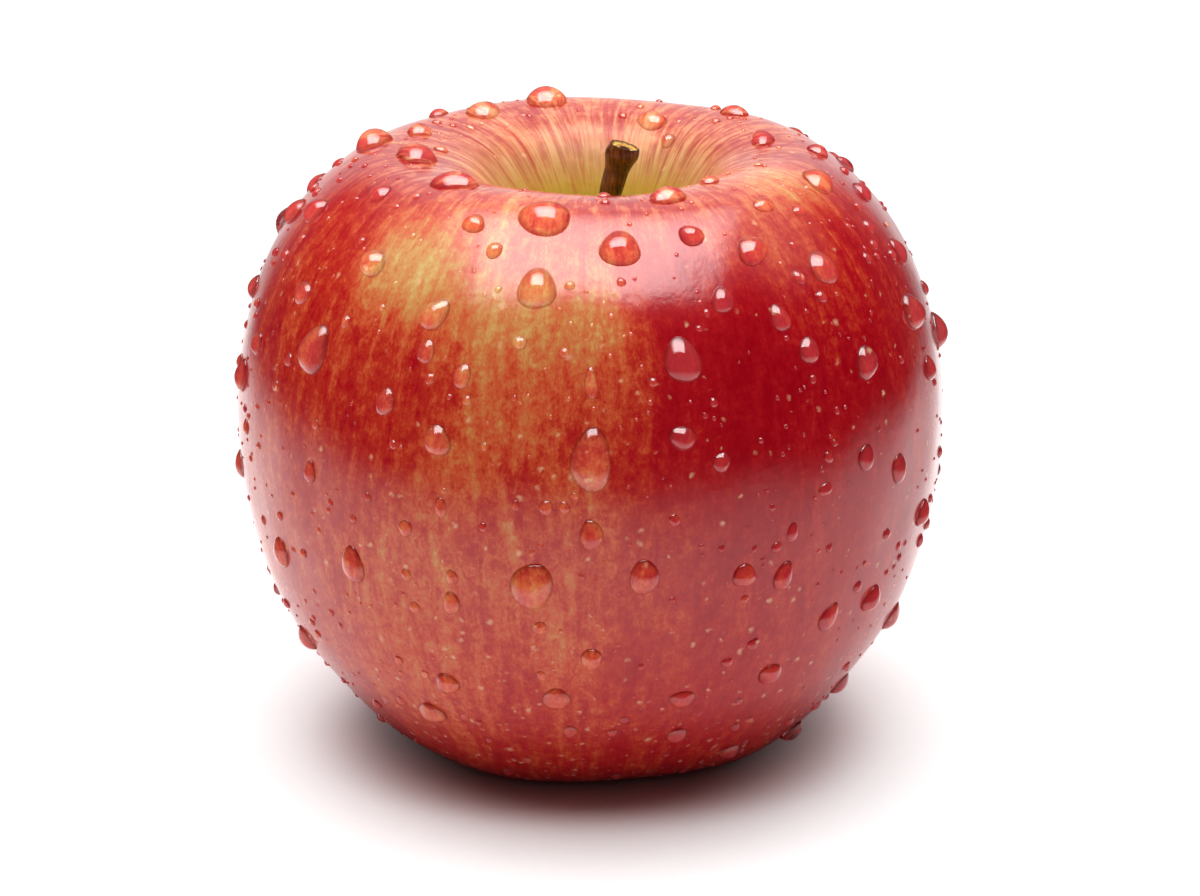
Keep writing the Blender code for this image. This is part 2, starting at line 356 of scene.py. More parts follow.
    # fine dark cracks that run round the stem
    roundStem = addNode(tree, "ShaderNodeMapping", {0: meridian, "Scale": (3.0, 3.0, 60.0)}).outputs[0]
    crackNoise = addNode(tree, "ShaderNodeTexNoise",
                         {"Vector": roundStem, "Scale": 1.0, "Detail": 3.0, "Roughness": 0.7}).outputs[0]
    crackLine = addNode(tree, "ShaderNodeMapRange",
                        {0: crackNoise, 1: 0.56, 2: 0.66, 3: 0.0, 4: skinLook["crackShare"]}).outputs[0]
    crackZone = addNode(tree, "ShaderNodeMapRange", {0: along, 1: 0.22, 2: 0.40, 3: 1.0, 4: 0.0},
                        interpolation_type="SMOOTHSTEP").outputs[0]
    crack = addNode(tree, "ShaderNodeMath", {0: crackLine, 1: crackZone}, operation="MULTIPLY").outputs[0]
    colour = addNode(tree, "ShaderNodeMix", {0: crack, 6: colour, 7: toLinear(skinLook["crackColour"])},
                     data_type="RGBA").outputs[2]

    # lenticels: pale breathing pores with soft, frayed edges, up to 1 mm wide and more of them low down
    frayed = addNode(tree, "ShaderNodeMix", {0: skinLook["poreFray"], 4: place, 5: mottle.outputs["Color"]},
                     data_type="VECTOR").outputs[1]
    pores = addNode(tree, "ShaderNodeTexVoronoi",
                    {"Vector": frayed, "Scale": 1 / skinLook["poreSpacing"], "Randomness": 1.0})
    poreDraw = addNode(tree, "ShaderNodeSeparateColor", {0: pores.outputs["Color"]})
    share = addNode(tree, "ShaderNodeMapRange", {0: along, 1: 1.0, 2: 2.4, 3: 0.20, 4: 0.85}).outputs[0]
    chosen = addNode(tree, "ShaderNodeMath", {0: poreDraw.outputs[0], 1: share},
                     operation="LESS_THAN").outputs[0]
    poreSize = addNode(tree, "ShaderNodeMapRange", {0: poreDraw.outputs[1], 3: 0.12, 4: 0.30}).outputs[0]
    dot = addNode(tree, "ShaderNodeMapRange",
                  {0: pores.outputs["Distance"], 1: poreSize, 2: 0.0, 3: 0.0, 4: skinLook["poreShare"]},
                  interpolation_type="SMOOTHSTEP").outputs[0]
    pore = addNode(tree, "ShaderNodeMath", {0: dot, 1: chosen}, operation="MULTIPLY").outputs[0]
    colour = addNode(tree, "ShaderNodeMix", {0: pore, 6: colour, 7: toLinear(skinLook["poreColour"])},
                     data_type="RGBA").outputs[2]

    # the calyx basin is greenish and a little russeted
    basin = addNode(tree, "ShaderNodeMapRange", {0: along, 1: 2.95, 2: 3.30, 3: 0.0, 4: 0.8},
                    interpolation_type="SMOOTHSTEP").outputs[0]
    colour = addNode(tree, "ShaderNodeMix", {0: basin, 6: colour, 7: toLinear(skinLook["basinColour"])},
                     data_type="RGBA").outputs[2]

    # painted light: the skin's colour is drawn lighter where it is seen through a drop, in place of the light
    # that the water gathers on the skin under it
    underWater = addNode(tree, "ShaderNodeLightPath").outputs["Is Transmission Ray"]
    colour = addNode(tree, "ShaderNodeMix", {0: underWater, 6: colour, 7: skinLook["underWater"]},
                     data_type="RGBA", blend_type="MULTIPLY").outputs[2]
    tree.links.new(colour, shader.inputs["Base Color"])

    # smooth wax, dull on the russet round the stem and in the basin, and with no gloss of its own under water
    russet, wax = skinLook["russetRoughness"], skinLook["waxRoughness"]
    dullTop = addNode(tree, "ShaderNodeMapRange", {0: along, 1: 0.30, 2: 0.66, 3: russet, 4: wax},
                      interpolation_type="SMOOTHSTEP").outputs[0]
    dull = addNode(tree, "ShaderNodeMath", {0: basin, 1: 0.5, 2: dullTop},
                   operation="MULTIPLY_ADD").outputs[0]
    dull = addNode(tree, "ShaderNodeMath", {0: dull, 1: underWater}, operation="MAXIMUM").outputs[0]
    tree.links.new(dull, shader.inputs["Roughness"])
    mirror = addNode(tree, "ShaderNodeMapRange", {0: along, 1: 0.40, 2: 0.68, 3: 0.04, 4: 0.50},
                     interpolation_type="SMOOTHSTEP").outputs[0]
    tree.links.new(mirror, shader.inputs["Specular IOR Level"])
    shader.inputs["IOR"].default_value = 1.46
    bumpNoise = addNode(tree, "ShaderNodeTexNoise",
                        {"Vector": place, "Scale": 1 / skinLook["bumpSize"], "Detail": 4.0, "Roughness": 0.6})
    rough = addNode(tree, "ShaderNodeMath", {0: crack, 1: -1.5, 2: bumpNoise.outputs[0]},
                    operation="MULTIPLY_ADD").outputs[0]
    bump = addNode(tree, "ShaderNodeBump",
                   {"Height": rough, "Strength": 0.40, "Distance": skinLook["bumpDepth"]})
    tree.links.new(bump.outputs[0], shader.inputs["Normal"])
    return material


def makeSkin():
    columns, rows = skinLook["columns"], skinLook["rows"]
    turns = np.arange(columns) * 2 * math.pi / columns
    alongs = np.linspace(0, wholeLength, rows + 1)[1:-1]
    turnGrid, alongGrid = np.meshgrid(turns, alongs)
    points = fruitPoint(turnGrid, alongGrid).reshape(-1, 3)
    poles = fruitPoint(np.zeros(2), np.array([0.0, wholeLength]))
    vertices = np.vstack([points, poles])
    count = len(points)
    faces = gridFaces(len(alongs), columns)
    faces += [(k, (k + 1) % columns, count) for k in range(columns)]
    last = count - columns
    faces += [(last + (k + 1) % columns, last + k, count + 1) for k in range(columns)]
    skin = makeObject("appleSkin", vertices, faces, makeSkinMaterial())
    turnAll = np.concatenate([turnGrid.ravel(), [0, 0]])
    alongAll = np.concatenate([alongGrid.ravel(), [0.0, wholeLength]])
    paint(skin, "meridian", "FLOAT_VECTOR",
          np.stack([np.cos(turnAll), np.sin(turnAll), alongAll / girth], axis=-1))
    paint(skin, "blush", "FLOAT", blushAt(turnAll, alongAll))
    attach(skin, "root")
    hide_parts("fruit")
    print("skin:", len(faces), "faces")


makeSkin()


# Stem: thin dark bark round pale wood, dried hard and cut across its swollen end

stemLow, stemHigh = (np.array(corner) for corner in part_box("stem"))
stemLook = {
    "columns": 64,
    "stations": 56,
    "footRadius": 1.12 * mm,
    "tipRadius": 1.75 * mm,
    "lean": 2.75 * mm,
    "bend": 2.4,  # the higher, the nearer to the tip it bends
    "swellFrom": 0.45,
    "lip": 0.14 * mm,  # how far the bark swells out at the cut
    "neck": 0.10 * mm,  # and draws in below it
    "knob": 0.16 * mm,  # a bulge of the bark on the side away from the lean
    "foldDepth": 0.045 * mm,
    "jagDepth": 0.05 * mm,
    "tilt": math.radians(15),  # the cut falls to the side that the stem leans to
    "drop": 0.25 * mm,  # the cut's middle stands this far under the stem's highest point
    "pit": 0.46 * mm,  # how deep the pith has shrunk
    # share of the cut's radius, and height in mm above its edge
    "cutProfile": [(0.94, 0.12), (0.86, 0.13), (0.79, 0.02), (0.74, -0.10), (0.60, -0.05), (0.46, -0.09),
                   (0.34, -0.14), (0.28, -0.16), (0.22, -0.36), (0.12, -0.45)],
    "cutStops": [(0.00, "#1C0A03"), (0.26, "#2A1206"), (0.34, "#7A4A16"), (0.42, "#B8883A"),
                 (0.52, "#9A6E2A"), (0.62, "#D0A858"), (0.74, "#C09A50"), (0.82, "#74481C"),
                 (0.90, "#2A1006")],
    "barkStops": [(0.32, "#1E0C04"), (0.46, "#4C2409"), (0.58, "#743F10"), (0.76, "#A0701F")],
    "footColour": "#6E5A20",
    "fibreWidth": 0.35 * mm,  # drawn coarser than real ones, so that they show
    "blotchSize": 1.6 * mm,
    "barkRoughness": 0.22,  # rubbed and waxy
    "cutRoughness": 0.8,
    "bumpDepth": 0.25 * mm,
}


def stemCentre(share):
    level = stemLow[2] + (stemHigh[2] - stemLow[2]) * share
    mouth = fruitPoint(np.array(0.0), np.array(0.0))[2]
    above = np.clip((level - mouth) / (stemHigh[2] - mouth), 0.0, 1.0)
    return np.array([shape["cavityShift"] + stemLook["lean"] * above ** stemLook["bend"], 0.0, level])


def makeStemMaterial():
    material, tree, shader = newMaterial("driedBarkAndCutWood")
    where = addNode(tree, "ShaderNodeAttribute", attribute_name="where").outputs["Vector"]
    parts = addNode(tree, "ShaderNodeSeparateXYZ", {0: where})
    share, cut, onCut = (parts.outputs[k] for k in ("X", "Y", "Z"))
    place = addNode(tree, "ShaderNodeTexCoord").outputs["Object"]
    lengthwise = addNode(tree, "ShaderNodeMapping", {0: place, "Scale": (1, 1, 0.12)}).outputs[0]
    fibre = addNode(tree, "ShaderNodeTexNoise",
                    {"Vector": lengthwise, "Scale": 1 / stemLook["fibreWidth"], "Detail": 4.0,
                     "Roughness": 0.7})
    blotch = addNode(tree, "ShaderNodeTexNoise",
                     {"Vector": place, "Scale": 1 / stemLook["blotchSize"], "Detail": 3.0})
    both = addNode(tree, "ShaderNodeMath", {0: fibre.outputs[0], 1: 0.6, 2: -0.06},
                   operation="MULTIPLY_ADD").outputs[0]
    both = addNode(tree, "ShaderNodeMath", {0: blotch.outputs[0], 1: 0.5, 2: both},
                   operation="MULTIPLY_ADD").outputs[0]
    bark = addNode(tree, "ShaderNodeValToRGB", {0: both})
    setRamp(bark, stemLook["barkStops"])
    # greener and paler where the stem grew out of the fruit
    foot = addNode(tree, "ShaderNodeMapRange", {0: share, 1: 0.30, 2: 0.02, 3: 0.0, 4: 0.7},
                   interpolation_type="SMOOTHSTEP").outputs[0]
    barkColour = addNode(tree, "ShaderNodeMix",
                         {0: foot, 6: bark.outputs[0], 7: toLinear(stemLook["footColour"])},
                         data_type="RGBA").outputs[2]
    rings = addNode(tree, "ShaderNodeMath", {0: fibre.outputs[0], 1: 0.22, 2: -0.11},
                    operation="MULTIPLY_ADD").outputs[0]
    cutPlace = addNode(tree, "ShaderNodeMath", {0: cut, 1: rings}, operation="ADD").outputs[0]
    wood = addNode(tree, "ShaderNodeValToRGB", {0: cutPlace})
    setRamp(wood, stemLook["cutStops"])
    colour = addNode(tree, "ShaderNodeMix", {0: onCut, 6: barkColour, 7: wood.outputs[0]},
                     data_type="RGBA").outputs[2]
    tree.links.new(colour, shader.inputs["Base Color"])
    rough = addNode(tree, "ShaderNodeMapRange",
                    {0: onCut, 3: stemLook["barkRoughness"], 4: stemLook["cutRoughness"]}).outputs[0]
    tree.links.new(rough, shader.inputs["Roughness"])
    mirror = addNode(tree, "ShaderNodeMapRange", {0: onCut, 3: 0.5, 4: 0.15}).outputs[0]
    tree.links.new(mirror, shader.inputs["Specular IOR Level"])
    bump = addNode(tree, "ShaderNodeBump",
                   {"Height": both, "Strength": 0.8, "Distance": stemLook["bumpDepth"]})
    tree.links.new(bump.outputs[0], shader.inputs["Normal"])
    return material


def makeStem():
    columns, stations = stemLook["columns"], stemLook["stations"]
    turns = np.arange(columns) * 2 * math.pi / columns
    draw = random.Random(11)
    # waves round the stem: how many, where each starts, how it winds and its size
    folds = [(around, draw.uniform(0, 6.28), draw.uniform(-5, 5), draw.uniform(0.4, 1.0) / around ** 0.5)
             for around in (2, 3, 5, 7, 9, 12)]
    crumbs = [(around, draw.uniform(0, 6.28), draw.uniform(0.4, 1.0)) for around in (2, 3, 5, 8, 13)]
    jag = stemLook["jagDepth"] * sum(size * np.sin(around * turns + start) for around, start, size in crumbs)

    def ring(share, scale, lift, swing):
        # one loop of points round the stem, with the folds of its bark
        centre = stemCentre(share)
        swell = max(share - stemLook["swellFrom"], 0.0) / (1 - stemLook["swellFrom"])
        foot, tip = stemLook["footRadius"], stemLook["tipRadius"]
        radius = foot * 0.95 + (tip - foot) * swell ** 1.6
        radius += stemLook["lip"] * math.exp(-((share - 0.955) / 0.03) ** 2)
        radius -= stemLook["neck"] * math.exp(-((share - 0.86) / 0.05) ** 2)
        fold = sum(size * np.sin(around * turns + start + pitch * share)
                   for around, start, pitch, size in folds)
        knob = stemLook["knob"] * math.exp(-((share - 0.95) / 0.05) ** 2)
        knob = knob * np.exp(-((turns - math.radians(200)) / 0.9) ** 2)
        radii = (radius + stemLook["foldDepth"] * fold + knob) * scale
        x = centre[0] + radii * np.cos(turns)
        y = radii * np.sin(turns)
        slope = swing * (-math.tan(stemLook["tilt"]) * radii * np.cos(turns) + jag * scale)
        z = centre[2] + lift + slope
        return np.stack([x, y, z], axis=-1)

    drop = stemLook["drop"]
    rows, marks = [], []
    for number in range(stations):
        share = 1 - number / (stations - 1)
        rounded = 1.0 - 0.05 * float(smoothStep(share, 0.975, 1.0))
        tilted = float(smoothStep(share, 0.7, 1.0))
        rows.append(ring(share, rounded, -drop * share, tilted))
        marks += [(share, 1.0, 0.0)] * columns
    cutRows, cutMarks = [], []
    for scale, lift in reversed(stemLook["cutProfile"]):
        cutRows.append(ring(1.0, scale, lift * mm - drop, 1.0))
        cutMarks += [(1.0, scale, 1.0)] * columns
    middle = ring(1.0, 0.0, -stemLook["pit"] - drop, 1.0)[:1]
    vertices = np.vstack([*cutRows, *rows, middle, stemCentre(0.0)[None]])
    allRows = len(cutRows) + len(rows)
    faces = gridFaces(allRows, columns)
    last = allRows * columns
    faces += [((k + 1) % columns, last, k) for k in range(columns)]
    start = (allRows - 1) * columns
    faces += [(start + k, last + 1, start + (k + 1) % columns) for k in range(columns)]
    stem = makeObject("appleStem", vertices, faces, makeStemMaterial())
    paint(stem, "where", "FLOAT_VECTOR", cutMarks + marks + [(1.0, 0.0, 1.0), (0.0, 1.0, 0.0)])
    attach(stem, "root")
    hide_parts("stem")
    print("stem:", len(faces), "faces")


makeStem()


# Calyx: five dried sepals, closed over the eye; dull, brown and papery

calyxLook = {
    "sepals": 5,
    "first": math.radians(-113),
    "ring": 2.9 * mm,  # radius that the sepals' roots stand on
    "length": 4.8 * mm,
    "width": 3.1 * mm,
    "thickness": 0.22 * mm,
    "lean": 0.34,  # inward, as a share of the length
    "cup": 0.22,  # as a share of half the width
    "crease": 0.10 * mm,
    "twist": 0.8 * mm,
    "stations": 16,
    "columns": 10,
    "veinStops": [(0.32, "#2C1A0C"), (0.48, "#5A3E20"), (0.60, "#7C6238"), (0.74, "#9C8858")],
    "veinWidth": 0.4 * mm,
    "roughness": 0.85,
    "bumpDepth": 0.15 * mm,
}


def makeSepalMaterial():
    material, tree, shader = newMaterial("driedSepalPaper")
    place = addNode(tree, "ShaderNodeTexCoord").outputs["Object"]
    lengthwise = addNode(tree, "ShaderNodeMapping", {0: place, "Scale": (1, 1, 0.2)}).outputs[0]
    vein = addNode(tree, "ShaderNodeTexNoise",
                   {"Vector": lengthwise, "Scale": 1 / calyxLook["veinWidth"], "Detail": 4.0,
                    "Roughness": 0.65})
    ramp = addNode(tree, "ShaderNodeValToRGB", {0: vein.outputs[0]})
    setRamp(ramp, calyxLook["veinStops"])
    tree.links.new(ramp.outputs[0], shader.inputs["Base Color"])
    shader.inputs["Roughness"].default_value = calyxLook["roughness"]
    shader.inputs["Sheen Weight"].default_value = 0.3
    bump = addNode(tree, "ShaderNodeBump",
                   {"Height": vein.outputs[0], "Strength": 0.6, "Distance": calyxLook["bumpDepth"]})
    tree.links.new(bump.outputs[0], shader.inputs["Normal"])
    return material


def makeCalyx():
    material = makeSepalMaterial()
    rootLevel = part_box("sepal_1")[1][2]
    stations, columns, length = calyxLook["stations"], calyxLook["columns"], calyxLook["length"]
    draw = random.Random(5)
    for number in range(calyxLook["sepals"]):
        turn = calyxLook["first"] + number * 2 * math.pi / calyxLook["sepals"]
        ahead, aside = math.cos(turn), math.sin(turn)
        curl, twist, wave = draw.uniform(0.1, 0.5), draw.uniform(-0.5, 0.5), draw.uniform(0, 6.28)
        vertices = []
        for row in range(stations + 1):
            t = row / stations
            half = calyxLook["width"] / 2 * (0.80 + 0.5 * t) * (1 - t ** 2.2) ** 0.8 + 0.05 * mm
            for column in range(columns + 1):
                s = 2 * column / columns - 1
                inward = calyxLook["lean"] * length * t - curl * length * 0.5 * t ** 3
                inward += calyxLook["cup"] * half * s * s
                inward += calyxLook["crease"] * math.sin(5 * s + wave + 6 * t)
                side = half * s + twist * calyxLook["twist"] * t * t
                x = calyxLook["ring"] - inward
                z = rootLevel - length * t * 0.97 + 0.12 * mm * math.sin(4 * s + wave)
                vertices.append((x * ahead - side * aside, x * aside + side * ahead, z))
        across = columns + 1
        faces = [(r * across + c, r * across + c + 1, (r + 1) * across + c + 1, (r + 1) * across + c)
                 for r in range(stations) for c in range(columns)]
        sepal = makeObject(f"driedSepal_{number + 1}", vertices, faces, material)
        skin = sepal.modifiers.new("thickness", "SOLIDIFY")
        skin.thickness = calyxLook["thickness"]
        skin.offset = 0.0
        rounder = sepal.modifiers.new("rounder", "SUBSURF")
        rounder.levels = rounder.render_levels = 1
        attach(sepal, "root")
        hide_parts(f"sepal_{number + 1}")
    print("calyx ready")


makeCalyx()


# Water: still drops that sit as lenses on the wax
# They are clear and smooth, so they mirror the softbox and magnify the skin

dropLook = {
    # turn from the front in degrees, distance along the outline, width and length in mm, lean in degrees
    "large": [
        (-166, 29, 5.2, 5.0, 0), (-143, 28, 4.4, 4.0, 0), (-134, 32, 2.6, 2.6, 0), (-110, 28, 3.2, 3.0, 0),
        (-98, 32, 4.6, 4.6, 0), (-80, 27, 4.8, 4.4, 0), (-45, 28, 4.6, 5.2, 60), (-60, 34, 3.2, 2.6, 0),
        (-76, 40, 3.4, 3.6, 0), (-11, 33, 6.0, 5.2, 0), (-27, 35, 2.8, 2.5, 0), (-20, 38, 1.9, 2.0, 0),
        (-10, 42, 4.4, 4.6, 0), (-46, 42, 3.6, 3.6, 20), (-61, 48, 2.8, 3.0, 20), (-28, 46, 3.0, 4.0, -30),
        (-52, 53, 4.2, 6.2, -12), (-72, 56, 2.2, 2.8, 0), (-28, 50, 2.0, 2.8, 0), (-21, 52, 2.0, 2.8, 0),
        (0, 52, 1.4, 3.4, 0), (-34, 56, 2.4, 3.0, 0), (-24, 59, 3.3, 3.3, 0), (156, 24, 3.8, 3.6, 0),
        (144, 21, 2.0, 2.2, 0), (133, 30, 3.6, 3.0, 0), (102, 27, 4.4, 3.0, 0), (94, 33, 3.0, 2.6, 0),
        (70, 34, 5.0, 3.8, 0), (86, 39, 3.0, 2.8, 0), (22, 29, 4.2, 4.0, -50), (43, 26, 2.6, 2.4, 0),
        (44, 34, 2.6, 2.3, 0), (52, 36, 1.8, 1.6, 0), (6, 37, 4.6, 4.4, 0), (22, 36, 2.8, 2.8, 0),
        (34, 39, 4.2, 3.4, 15), (48, 43, 3.8, 4.0, -15), (78, 46, 3.0, 3.4, 0), (24, 44, 2.5, 3.2, 0),
        (34, 47, 2.4, 3.1, 0), (70, 52, 4.2, 4.4, 0), (88, 58, 4.2, 4.4, 0), (38, 51, 2.5, 3.2, 0),
        (15, 50, 3.9, 5.1, 0), (50, 54, 3.4, 3.8, -10), (72, 59, 2.6, 3.2, 0), (0, 60, 4.6, 6.6, 0),
        (14, 58, 3.0, 2.6, 0), (20, 61, 1.9, 2.3, 0), (-84, 73, 2.6, 3.4, 0), (-49, 66, 1.8, 2.6, 0),
        (-29, 69, 1.7, 2.0, 0), (-23, 66, 1.5, 2.2, 0), (-61, 78, 2.8, 3.7, -10), (-40, 75, 3.3, 4.4, -10),
        (0, 68, 2.5, 3.6, 10), (-9, 74, 4.5, 5.8, 0), (-22, 77, 2.1, 2.8, 0), (-8, 79, 1.6, 1.6, 0),
        (-66, 91, 3.0, 3.4, 0), (0, 83, 2.5, 2.8, 0), (-25, 88, 2.8, 3.0, 20), (-6, 89, 3.0, 3.6, 0),
        (-31, 94, 3.4, 3.2, 0), (-4, 95, 1.6, 2.4, 0), (8, 73, 3.2, 4.3, -12), (47, 64, 2.6, 2.9, 0),
        (56, 67, 2.8, 3.5, 0), (38, 66, 1.9, 1.6, 0), (68, 75, 2.8, 3.4, -15), (32, 70, 1.5, 2.2, 0),
        (24, 74, 3.0, 2.6, 20), (31, 75, 2.4, 3.4, -20), (42, 82, 2.6, 3.5, -20), (53, 82, 2.8, 3.3, -15),
        (70, 89, 3.4, 4.0, 0), (32, 88, 2.8, 3.1, 0), (16, 90, 2.9, 2.8, 0), (17, 97, 2.5, 2.6, 0),
        (33, 103, 2.6, 2.6, 0), (64, 98, 3.2, 3.4, 0), (58, 105, 3.2, 3.4, 0), (-78, 61, 3.4, 3.8, 0),
        (-90, 53, 3.2, 3.0, 0), (-90, 43, 3.4, 3.4, 0), (-12, 48, 1.6, 1.6, 0),
    ],
    "behind": 70,  # tries for a drop of middle size on the far side
    "behindSize": (1.6, 3.4),  # the smallest in mm, and how much larger one can be
    "small": 1500,  # tries for a tiny one all round
    "smallSize": (0.36, 1.15),
    "clearOfFloor": 1.2 * mm,
    "gap": 0.25 * mm,
    "largePoints": (28, 8),  # round a drop, and from its rim to its top
    "smallPoints": (12, 4),
    "wobble": (0.06, 0.045),  # how oval and how three-cornered the outline is
    "fullness": 0.62,  # height against half the width
    "bulge": 0.18,  # how much fuller the downhill half is on a steep wall
    "widen": 0.07,  # and how much wider
    "sunk": 0.03 * mm,
    "underside": 0.08 * mm,
    "paintedShadeColour": "#6A0A06",  # painted shade: the dark red that the rim and uphill side are tinted, where the drop bends the light away
    "paintedRimShade": 1.15,
    "paintedUphillShade": 0.30,
    "coat": 0.65,  # brightens the softbox in it
}


def dropShape(turn, along, width, length, lean, draw, columns, rings):
    # one closed lens: a dome over the skin and a shallow underside just beneath it
    here, normal, onward = fruitFrame(turn, along)
    radius = max(math.hypot(here[0], here[1]), 2 * mm)
    downhill = 1.0 if onward[2] <= 0 else -1.0
    steep = min(1.0, abs(onward[2]))
    phase = np.arange(columns) * 2 * math.pi / columns
    oval, corner = dropLook["wobble"]
    wobble = 1 + oval * np.sin(2 * phase + draw.uniform(0, 6.28))
    wobble += corner * np.sin(3 * phase + draw.uniform(0, 6.28))
    high = dropLook["fullness"] * draw.uniform(0.85, 1.15) * min(width, length) / 2
    half = min(width, length) / 2
    cap = (half * half + high * high) / (2 * high)
    vertices = []

    def loop(share, level):
        u = width / 2 * share * wobble * np.cos(phase)
        v = length / 2 * share * wobble * np.sin(phase)  # along the slope, downhill where it's positive
        u = u * (1 + dropLook["widen"] * steep * v / (length / 2))
        down = v * math.cos(lean) - u * math.sin(lean)
        over = u * math.cos(lean) + v * math.sin(lean)
        base = fruitPoint(turn + over / radius, along + downhill * down)
        heavy = 1 + dropLook["bulge"] * steep * v / (length / 2)
        return base + normal * ((level * heavy)[:, None] if level > 0 else level - dropLook["sunk"])

    shares = [1.0, 0.93]
    shares += [0.93 * math.sin(ring / (rings - 1) * math.pi / 2) for ring in range(rings - 2, 0, -1)]
    for share in shares:
        level = math.sqrt(max(cap * cap - (share * half) ** 2, 0)) - (cap - high)
        vertices.append(loop(share, level if share < 1 else 0.0))
    top = fruitPoint(np.array(turn), np.array(along)) + normal * high
    under = [loop(share, -dropLook["underside"] * (1 - share)) for share in (0.7, 0.35)]
    bottom = here - normal * (dropLook["underside"] + dropLook["sunk"])
    points = np.vstack([top[None], *reversed(vertices), *under, bottom[None]])
    rows = len(vertices) + len(under)
    faces = [(0, 1 + k, 1 + (k + 1) % columns) for k in range(columns)]
    faces += gridFaces(rows, columns, 1)
    start = 1 + (rows - 1) * columns
    faces += [(start + (k + 1) % columns, start + k, len(points) - 1) for k in range(columns)]
    outward = np.cross(points[1 + columns // 4] - points[0], points[1 + columns // 2] - points[0]) @ normal
    if outward < 0:
        faces = [face[::-1] for face in faces]
    # painted shade: the uphill side and the rim are tinted dark, standing in for the shade that the drop
    # leaves there as it focuses the light downhill
    paintedDropShade = np.zeros(len(points))
    uphill = 0.5 - 0.5 * np.sin(phase)
    for row, share in enumerate(reversed(shares)):
        paintedShadeHere = dropLook["paintedRimShade"] * share ** 8 + dropLook["paintedUphillShade"] * uphill * share ** 1.5
        paintedDropShade[1 + row * columns:1 + (row + 1) * columns] = np.minimum(paintedShadeHere, 1.0)
    return points, faces, paintedDropShade


def makeDropMaterial():
    material, tree, shader = newMaterial("clearStillWater")
    # painted shade: the water is tinted dark red at its rim and on its uphill side
    paintedDropShade = addNode(tree, "ShaderNodeAttribute", attribute_name="paintedDropShade").outputs["Fac"]
    tint = addNode(tree, "ShaderNodeMix", {0: paintedDropShade, 6: (1, 1, 1, 1), 7: toLinear(dropLook["paintedShadeColour"])},
                   data_type="RGBA")
    tree.links.new(tint.outputs[2], shader.inputs["Base Color"])
    shader.inputs["Roughness"].default_value = 0.0
    shader.inputs["IOR"].default_value = 1.333
    shader.inputs["Transmission Weight"].default_value = 1.0
    shader.inputs["Coat Weight"].default_value = dropLook["coat"]
    shader.inputs["Coat Roughness"].default_value = 0.0
    shader.inputs["Coat IOR"].default_value = 1.5
    return material


def makeDrops():
    draw = random.Random(23)
    placed, drops = [], []

    def fits(turn, along, size):
        # whether a drop has room there; the place is then taken
        spot = fruitPoint(np.array(turn), np.array(along))
        if spot[2] < dropLook["clearOfFloor"]:
            return False
        for other, otherSize in placed:
            if np.linalg.norm(spot - other) < (size + otherSize) / 2 * mm + dropLook["gap"]:
                return False
        placed.append((spot, size))
        return True

    for degrees, along, width, length, lean in dropLook["large"]:
        turn = math.radians(degrees - 90)
        fits(turn, along * mm, max(width, length))
        drops.append((turn, along * mm, width, length, math.radians(lean), "largePoints"))
    least, more = dropLook["behindSize"]
    for _ in range(dropLook["behind"]):
        turn, along = math.radians(draw.uniform(95, 265) - 90), draw.uniform(36, 104)
        size = least + more * draw.random() ** 2
        if fits(turn, along * mm, size):
            length, lean = size * draw.uniform(0.95, 1.35), draw.uniform(-0.3, 0.3)
            drops.append((turn, along * mm, size, length, lean, "largePoints"))
    least, more = dropLook["smallSize"]
    for _ in range(dropLook["small"]):
        turn, along = draw.uniform(-math.pi, math.pi), 24 + 84 * draw.random()
        size = least + more * draw.random() ** 3.2
        if fits(turn, along * mm, size):
            length, lean = size * draw.uniform(0.95, 1.4), draw.uniform(-0.4, 0.4)
            drops.append((turn, along * mm, size, length, lean, "smallPoints"))
    material = makeDropMaterial()
    for name, wanted in (("largeWaterDrops", "largePoints"), ("smallWaterDrops", "smallPoints")):
        columns, rings = dropLook[wanted]
        vertices, faces, paintedDropShades = [], [], []
        for turn, along, width, length, lean, fineness in drops:
            if fineness != wanted:
                continue
            points, loops, paintedDropShade = dropShape(turn, along, width * mm, length * mm, lean, draw, columns, rings)
            first = len(vertices)
            vertices.extend(points)
            paintedDropShades.extend(paintedDropShade)
            faces.extend(tuple(first + k for k in face) for face in loops)
        water = makeObject(name, vertices, faces, material)
        paint(water, "paintedDropShade", "FLOAT", paintedDropShades)
        water.visible_shadow = water.visible_diffuse = False  # so that it leaves the skin under it lit
        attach(water, "root")
        print(name, len(faces), "faces")


makeDrops()


# Studio: a pale floor that fades into the backdrop, and a large softbox overhead
# The gloss also sees a bright wall behind and a dark room in front

studio = {
    "boxHeight": 0.60,
    "boxLow": (-0.40, -0.29),  # its left and front, and then its right and rear
    "boxHigh": (0.33, 0.32),
    "boxSkew": 0.07,  # how much further forward its left front corner is
    "boxGlow": 11.5,  # as the gloss shows it
    "fillPower": 5.7,  # what it gives to matte surfaces
    "floorSize": 3.0,
    "floorColour": "#F2F2F2",
    "floorInGloss": 0.10,  # painted light: metres at which the gloss sees the paper as it is; farther off it sees it darker, as a painted pool of light
    "floorNearest": 1.15,  # the most times brighter it sees it near the fruit
    "floorBehind": 1.8,  # and how many times brighter again behind the fruit
    "floorInDrops": 1.3,  # how many times brighter sharp reflections see it near the fruit
    "floorReach": (0.019, 0.105),  # where the paper starts and ends to fade, in metres from under the fruit
    "floorMirrored": (0.14, 0.42),  # the same in everything that reflects it
    "floorAhead": (0, 0.008, 0),  # the fade and the painted red shadow have their middle this far in front of the fruit's
    "paintedShadowColour": "#9A2A22",  # painted shadow: the dark red of the fruit's shade and red bounce light, painted into the paper under it
    "paintedShadowReach": (0.016, 0.028),
    "paintedShadowShare": 0.80,
    "rearGlow": 1.0,  # the wall behind
    "aboveGlow": 1.25,  # the ceiling over the rear half
    "ambient": 0.18,  # what all of the room gives to matte surfaces
    "whiteness": 1.2,  # the plain backdrop
    "dropsDim": 0.8,  # how much of the room the sharp reflections leave out
}


